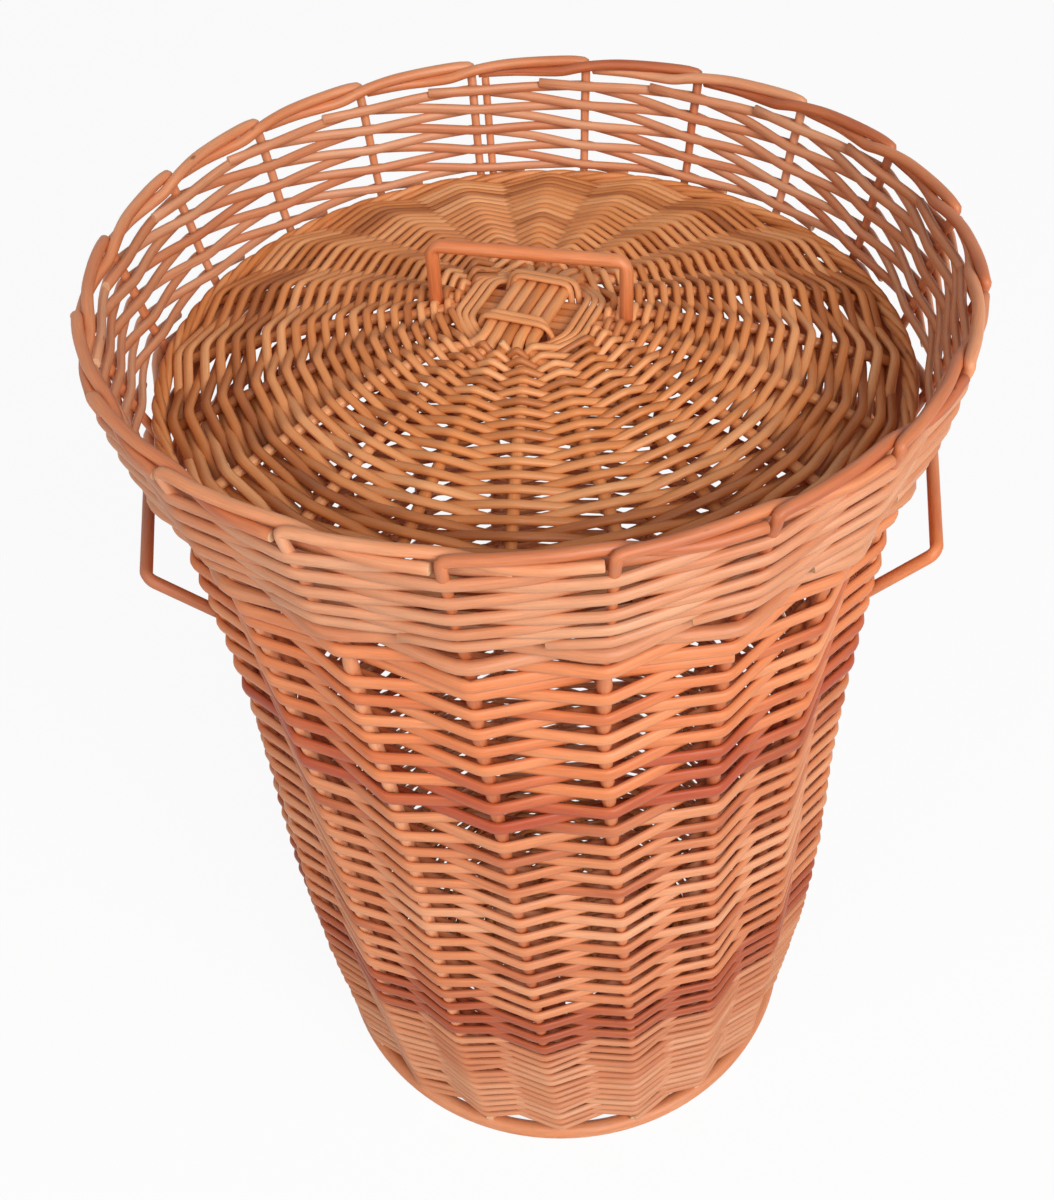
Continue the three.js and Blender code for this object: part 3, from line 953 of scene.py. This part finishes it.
@dataclass
class Disc:
    """A domed disc woven on two crossed sets of sticks that fan out into rays.

    Its edge is a height, its dome a rise above that, falling to nothing at the dome's radius. The
    upper set of sticks lies a lift above the dome and the lower one the same below it. A stick is
    flattened to shares of its size, the first square to the dome and the second along it.
    """

    name: str
    body: Body
    turn: float
    edge: float
    dome: float
    dome_radius: float
    stick_end: float
    lift: float
    stick: float
    weaver: float
    pitch: tuple[float, float]
    fill: float
    weave_to: float
    stick_nodes: tuple[str, ...]
    seed: int
    per_set: int = 5
    slath_half: float = 26.0
    tied_to: float = 29.0
    fanned_by: float = 54.0
    levelled_from: float = 24.0
    levelled_by: float = 46.0
    weave_from: float = 37.0
    bend: float = 0.1
    stick_gap: float = 0.2
    flattened: tuple[float, float] = (0.9, 1.04)
    stick_tones: Tones = Tones(0.45, 0.15)
    taper: tuple[float, float] = (1.05, 0.1)
    width_taper: tuple[float, float] = (1.04, 0.1)
    stray: float = 0.25
    tones: Tones = Tones(0.47, 0.2, 0.02, 0.98)
    lengths: Lengths = Lengths(14, 26, 5)
    upper_ties: tuple[float, ...] = (16.9, 20.6)
    lower_ties: tuple[float, ...] = (25.2, 29.2, 33.2)
    tie_clear: float = 1.7
    tie_corner: float = 2.2
    tie_half: float = 2.9
    tie_bend: float = 0.3
    tie_thickness: float = 2.8
    tie_width: float = 3.7
    tie_tone: float = 0.22

    def height(self, radius: Array | float) -> Array:
        """Height of the rays' centre lines: a dome that falls with the square of the radius."""
        return self.edge + self.dome * np.maximum(0, 1 - (np.asarray(radius, float) / self.dome_radius) ** 2)

    def normal(self, path: Array) -> Array:
        """Direction square to the dome at each point: the slope of its fall, turned upright.

        Args:
            path: the points, one row each.

        Returns:
            The directions.
        """
        steep = 2 * self.dome / self.dome_radius**2
        return unit(np.column_stack([path[:, 0] * steep, path[:, 1] * steep, np.ones(len(path))]))

    def on_ray(self, ray: Array | int, radius: Array) -> Array:
        """Points on the centre lines of the rays.

        Out to where its set is tied a ray lies beside its neighbours, at the angle whose sine is
        its own distance from the set's middle over the radius; from there it eases to an even
        share of the circle, and from its own set's height to the dome.

        Args:
            ray: number of the ray, counted round the disc.
            radius: distance from the disc's middle.

        Returns:
            The points, one row each.
        """
        quarter = (np.asarray(ray) + self.per_set // 2) // self.per_set
        place = ray - quarter * self.per_set
        tied = np.degrees(np.arcsin(np.clip(place * (self.stick + self.stick_gap) / radius, -0.9, 0.9)))
        share = ease(radius, self.tied_to, self.fanned_by)
        angle = 90 * quarter + (1 - share) * tied + share * place * 90 / self.per_set
        raised = np.where(quarter % 2 == 0, self.lift, -self.lift) * (
            1 - ease(radius, self.levelled_from, self.levelled_by))
        return polar(radius, self.turn + angle, self.height(np.maximum(radius, self.slath_half)) + raised)

    def stick_rod(self, group: int, i: int, rng: np.random.Generator) -> Rod:
        """One stick: straight across the middle, then out along its two rays.

        Args:
            group: 0 for the upper set, 1 for the lower.
            i: its place in the set, 0 in the middle.
            rng: source of its tone.

        Returns:
            The rod.
        """
        radii = np.array([18.0, 24, 30, 36, 42, 48, 54, 75, 100, 125, self.stick_end])
        ray = self.per_set * group
        halves = self.on_ray(ray + 2 * self.per_set - i, radii)[::-1], self.on_ray(ray + i, radii)
        path = spline(np.vstack(halves), 4)
        thick, wide = (self.stick * share for share in self.flattened)
        return Rod(path, self.normal(path), thick, self.stick_tones.draw(rng), width=wide)

    def weavers(self, strand: int, rng: np.random.Generator) -> list[Rod]:
        """The rods of one of the two strands that spiral out over and under the rays.

        Two strands move out two pitches a turn, and the pitch grows evenly with the radius, so
        the radius is an exponential function of the turn. The last half turn of each is a circle,
        so that together they end the weave level.

        Args:
            strand: which strand.
            rng: source of the rods' lengths, tones and small strays.

        Returns:
            The rods.
        """
        rays = 4 * self.per_set
        inner, outer = self.pitch
        growth = (outer - inner) / (self.weave_to - self.weave_from)
        steps = np.arange(int(rays / (2 * growth) * np.log(outer / inner)) + 1 + rays // 2)
        swelling = np.minimum(np.exp(2 * growth * steps / rays), outer / inner)
        radius = self.weave_from + inner / growth * (swelling - 1) + rng.normal(0, self.stray, len(steps))
        over = (steps + strand) % 2 == 1
        flat = self.on_ray(steps + strand * rays // 2, radius)
        reach = (self.stick * self.flattened[0] + self.weaver) / 2 / (1 - self.bend)
        knots = flat + self.normal(flat) * np.where(over, reach, -reach)[:, None]
        rods = []
        widths = inner * swelling * self.fill
        for path, share, room in self.lengths.share_out(knots, ~over, widths, self.bend, rng):
            rods.append(Rod(path, self.normal(path), tapered(self.weaver, self.taper, share),
                            self.tones.draw(rng), width=tapered(room, self.width_taper, share)))
        return rods

    def tie(self, out: float, over_upper: bool) -> Rod:
        """One turn of the loop that ties the slath: over the sticks of one set and under the other's.

        Args:
            out: distance from the disc's middle.
            over_upper: whether it is the upper set that it passes over.

        Returns:
            The rod.
        """
        reach = self.stick / 2 + self.tie_clear + (self.lift if over_upper else -self.lift)
        middle = self.height(self.slath_half)
        side = min(out - self.tie_corner, self.tie_half * self.stick)
        along = np.array([-side, 0.0, side])
        angle = self.turn + np.degrees(np.arctan2(along, out))
        heights = middle + np.array([reach, -reach] if over_upper else [-reach, reach])
        knots = [polar(np.hypot(out, along), angle + 90 * quarter, heights[quarter % 2])
                 for quarter in range(4)]
        path = kinked(np.vstack(knots), self.tie_bend, loop=True)
        return Rod(path, np.array([[0.0, 0.0, 1.0]]), self.tie_thickness, self.tie_tone,
                   width=self.tie_width, loop=True)

    def build(self, shop: Shop) -> None:
        """Make the sticks, the tie and the weave.

        Args:
            shop: maker of the pieces.
        """
        rng = np.random.default_rng(self.seed)
        reach = (self.per_set - 1) // 2
        sticks = [self.stick_rod(group, i, rng) for group in range(2) for i in range(-reach, reach + 1)]
        ties = [self.tie(out, True) for out in self.upper_ties]
        ties += [self.tie(out, False) for out in self.lower_ties]
        parts = [("sticks", self.stick_nodes, 10, sticks)]
        for i in (1, 2):
            parts.append((f"strand_{i}", (f"{self.name}_weaver_{i}",), 8, self.weavers(i - 1, rng)))
        parts.append(("slath_tie", (f"{self.name}_tie",), 8, ties))
        for name, nodes, sides, rods in parts:
            shop.make(Bundle(f"{self.name}_{name}", self.body, Willow.TAN, nodes, sides, rods))


@dataclass
class Hoop:
    """A thick rod bent into a ring, its ends scarfed together."""

    name: str
    body: Body
    cad: str
    radius: float
    height: float
    thickness: float
    willow: Willow

    def build(self, shop: Shop) -> None:
        """Make the hoop.

        Args:
            shop: maker of the pieces.
        """
        path = polar(self.radius, np.arange(0, 360, 3.0), self.height)
        rod = Rod(path, outward(path), self.thickness, loop=True)
        shop.make(Bundle(self.name, self.body, self.willow, (self.cad,), 14, [rod]))


@dataclass
class RolledEdge:
    """The lid's rim: thin rods wound round each other along a circle.

    Each rod's centre turns round the circle's line as it goes along it: out by the cosine of its
    own turning angle and up by the sine, times the winding radius.
    """

    radius: float = 189.8
    height: float = 532.6
    strands: int = 4
    thickness: float = 4.2
    winding: float = 2.3
    twists: int = 17
    tones: tuple[float, float] = (0.2, 0.7)
    seed: int = 71

    def build(self, shop: Shop) -> None:
        """Make the rim.

        Args:
            shop: maker of the pieces.
        """
        rng = np.random.default_rng(self.seed)
        bundle = Bundle("lid_edge", Body.LID, Willow.TAN, ("lid_border",))
        along = np.arange(0, 360, 1.5)
        for strand in range(self.strands):
            turning = np.radians(along * self.twists + 360 / self.strands * strand)
            path = polar(self.radius + self.winding * np.cos(turning), along,
                         self.height + self.winding * np.sin(turning))
            tone = float(rng.uniform(*self.tones))
            bundle.rods.append(Rod(path, outward(path), self.thickness, tone, loop=True))
        shop.make(bundle)


@dataclass
class Handle:
    """A rod notched and bent square at two corners, its legs pushed into the weave.

    A bend is the quadratic curve whose handle is the corner, and the rod thins towards its middle
    by the square of a sine.
    """

    name: str
    body: Body
    cad: str
    willow: Willow
    corners: Array
    thickness: float = 6.9
    notch: float = 0.78
    tip: float = 0.95
    corner: float = 5.5
    tone: float = 0.45

    def build(self, shop: Shop) -> None:
        """Make the handle.

        Args:
            shop: maker of the pieces.
        """
        rows, thick = [self.corners[0]], [self.thickness]
        for i in (1, 2):
            at = self.corners[i]
            start, finish = (at + self.corner * unit(self.corners[i + side] - at) for side in (-1, 1))
            t = np.linspace(0, 1, 7)[:, None]
            rows += list(quadratic(start, at, finish, t))
            thick += list(self.thickness * (1 - (1 - self.notch) * np.sin(np.pi * t[:, 0]) ** 2))
            if i == 1:
                rows.append((self.corners[1] + self.corners[2]) / 2)
                thick.append(self.thickness)
        rows.append(self.corners[3])
        thick.append(self.thickness * self.tip)
        path = np.array(rows)
        legs = np.diff(self.corners, axis=0)
        normal = unit(np.cross(legs[0], legs[1]))
        rod = Rod(path, normal[None, :], self.thickness, self.tone, width=np.array(thick))
        shop.make(Bundle(self.name, self.body, self.willow, (self.cad,), 14, [rod]))


def lid_handle() -> Handle:
    """The lid's handle, its legs through the dome beside the slath.

    Returns:
        The handle.
    """
    half, top, depth, rays_round = 48.5, 596.3, 6.2, 4.5
    angle = LID_TURN - rays_round * STEP
    foot = LID_EDGE + LID_DOME * (1 - (half / LID_STICK_END) ** 2) - depth
    corners = polar(np.array([-half, -half, half, half]), angle, np.array([foot, top, top, foot]))
    return Handle("lid_handle_rod", Body.LID, "lid_handle", Willow.ORANGE, corners)


def side_handle(name: str, cad: str, willow: Willow, stake: int) -> Handle:
    """A side handle, its legs out of the wall beside two stakes.

    Args:
        name: name of the piece.
        cad: the solid that it stands for.
        willow: its finish.
        stake: stake beside its first leg.

    Returns:
        The handle.
    """
    root_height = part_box(cad)[0].z / MM + 3.0
    reach, half, height, beside, proud = 211.0, 46.0, 463.0, 6.55, 1.2
    radius = float(wall_radius(root_height))
    side = np.array([1, -1])
    root_angle = stake_angle(stake + 1 - side, root_height) + side * np.degrees(beside / radius)
    roots = polar(radius + proud, root_angle, root_height)
    end_angle = stake_angle(stake + 1, SHOULDER) - side * np.degrees(np.arctan2(half, reach))
    ends = polar(np.hypot(reach, half), end_angle, height)
    return Handle(name, Body.BASKET, cad, willow, np.array([roots[0], ends[0], ends[1], roots[1]]))


# Studio


def axes(x: Array, y: Array, z: Array) -> Matrix:
    """Rotation that turns an object's own axes to three given ones."""
    return Matrix((x, y, z)).transposed().to_4x4()


@dataclass
class Studio:
    """Pale floor, soft light and the camera."""

    focal_pixels: float = 1499.0
    picture: tuple[int, int] = (1054, 1200)
    centre: tuple[float, float] = (543.0, 602.0)
    place: tuple[float, float, float] = (0.0, -0.635, 0.984)
    pitch: float = 44.51
    yaw: float = -0.13
    roll: float = -3.02
    sensor: float = 36.0
    floor_half: float = 9.0
    floor_glow: float = 0.93
    surroundings: float = 0.22
    aim: tuple[float, float, float] = (0.0, 0.0, 0.35)
    lamp_size: float = 1.3
    lamps: tuple[tuple[str, tuple[float, float, float], float], ...] = (
        ("key", (1.05, -1.8, 1.8), 53.0), ("fill", (-1.3, -1.5, 1.5), 12.0))

    def camera(self) -> None:
        """Set the camera where the photograph was taken from.

        Its axes are the view direction, level rightwards and their cross product, turned by the
        roll.
        """
        pitch, yaw, roll = np.radians((self.pitch, self.yaw, self.roll))
        ahead = np.array([np.sin(yaw) * np.cos(pitch), np.cos(yaw) * np.cos(pitch), -np.sin(pitch)])
        right = np.array([np.cos(yaw), -np.sin(yaw), 0.0])
        above = np.cross(right, ahead)
        x = right * np.cos(roll) + above * np.sin(roll)
        y = -right * np.sin(roll) + above * np.cos(roll)
        lens = bpy.data.cameras.new("camera")
        lens.sensor_width = self.sensor
        lens.lens = self.sensor * self.focal_pixels / max(self.picture)
        lens.shift_x = (self.picture[0] / 2 - self.centre[0]) / max(self.picture)
        lens.shift_y = (self.centre[1] - self.picture[1] / 2) / max(self.picture)
        lens.clip_end = 60.0
        camera = placed("camera", lens)
        camera.matrix_world = Matrix.Translation(self.place) @ axes(x, y, -ahead)
        bpy.context.scene.camera = camera

    def floor(self) -> None:
        """A pale matt floor that looks white and keeps the soft shadow."""
        mesh = bpy.data.meshes.new("floor")
        size = self.floor_half
        corners = [(-size, -size, 0), (size, -size, 0), (size, size, 0), (-size, size, 0)]
        mesh.from_pydata(corners, [], [(0, 1, 2, 3)])
        floor = placed("floor", mesh)
        material = bpy.data.materials.new("matt_paper_floor")
        tree = empty_tree(material)
        seen = self.seen_directly(tree)
        share = node(tree, "Math", {"operation": "MULTIPLY"}, i0=seen, i1=self.floor_glow).outputs[0]
        paper = node(tree, "BsdfDiffuse", Color=(0.86, 0.86, 0.86, 1))
        glow = node(tree, "Emission", Color=(1, 1, 1, 1), Strength=1.0)
        mix = node(tree, "MixShader", i0=share, i1=paper.outputs[0], i2=glow.outputs[0])
        node(tree, "OutputMaterial", Surface=mix.outputs[0])
        mesh.materials.append(material)
        floor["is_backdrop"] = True

    @staticmethod
    def seen_directly(tree: bpy.types.NodeTree) -> bpy.types.NodeSocket:
        """1 on rays from the camera, a gloss or glass, 0 on the rays that light the object.

        Args:
            tree: where the nodes go.

        Returns:
            The socket.
        """
        path = node(tree, "LightPath")
        first = node(tree, "Math", {"operation": "MAXIMUM"},
                     i0=path.outputs["Is Camera Ray"], i1=path.outputs["Is Glossy Ray"]).outputs[0]
        return node(tree, "Math", {"operation": "MAXIMUM"},
                    i0=first, i1=path.outputs["Is Transmission Ray"]).outputs[0]

    def light(self) -> None:
        """Dim even surroundings that look white, and a broad lamp over each shoulder of the camera."""
        world = bpy.data.worlds.new("studio")
        tree = empty_tree(world)
        seen = self.seen_directly(tree)
        dim = node(tree, "Background", Color=(1, 1, 1, 1), Strength=self.surroundings)
        plain = node(tree, "Background", Color=(1, 1, 1, 1), Strength=1.0)
        mix = node(tree, "MixShader", i0=seen, i1=dim.outputs[0], i2=plain.outputs[0])
        node(tree, "OutputWorld", Surface=mix.outputs[0])
        bpy.context.scene.world = world
        for name, place, power in self.lamps:
            lamp = bpy.data.lights.new(name, "AREA")
            lamp.size = self.lamp_size
            lamp.energy = power
            back = unit(np.subtract(place, self.aim))
            right = unit(np.cross((0.0, 0.0, 1.0), back))
            turned = axes(right, np.cross(back, right), back)
            placed(name, lamp).matrix_world = Matrix.Translation(place) @ turned

    def build(self) -> None:
        """Make the camera, the floor and the light."""
        self.camera()
        self.floor()
        self.light()
        bpy.context.scene.view_settings.view_transform = "Standard"


def main() -> None:
    """Build every part of the basket in order and report its pieces."""
    logging.basicConfig(level=logging.INFO, format="%(message)s")
    Studio().build()
    shop = Shop()
    wall = Wall()
    Stakes().build(shop, wall)
    wall.build(shop)
    Ledge().build(shop)
    Collar().build(shop)
    Hoop("foot_hoop", Body.BASKET, "foot_ring", 156.5, 5.5, 10.8, Willow.PEACH).build(shop)
    Disc("base", Body.BASKET, turn=float(stake_angle(0, BASE_STAKE_HEIGHT)), edge=BASE_HEIGHT,
         dome=BASE_CROWN, dome_radius=150.0, stick_end=159.5, lift=0.0, stick=5.6, weaver=3.6,
         pitch=(3.4, 4.0), fill=1.36, weave_to=149.5, stick_nodes=("base_slath",), seed=51).build(shop)
    Disc("lid", Body.LID, turn=LID_TURN, edge=LID_EDGE, dome=LID_DOME, dome_radius=LID_STICK_END,
         stick_end=LID_STICK_END, lift=3.0, stick=5.8, weaver=3.4, pitch=(3.1, 4.5), fill=1.22,
         weave_to=183.0, stick_nodes=tuple(f"lid_stick_{i:02d}" for i in range(1, 11)), seed=61).build(shop)
    RolledEdge().build(shop)
    lid_handle().build(shop)
    side_handle("side_handle_rod_right", "side_handle_right", Willow.ORANGE, 18).build(shop)
    side_handle("side_handle_rod_left", "side_handle_left", Willow.RED, 9).build(shop)
    boxes = {"cad": CAD_BOX, "visual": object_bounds()}
    {name: [list(corner) for corner in box] for name, box in boxes.items()}


if __name__ == "__main__":
    main()
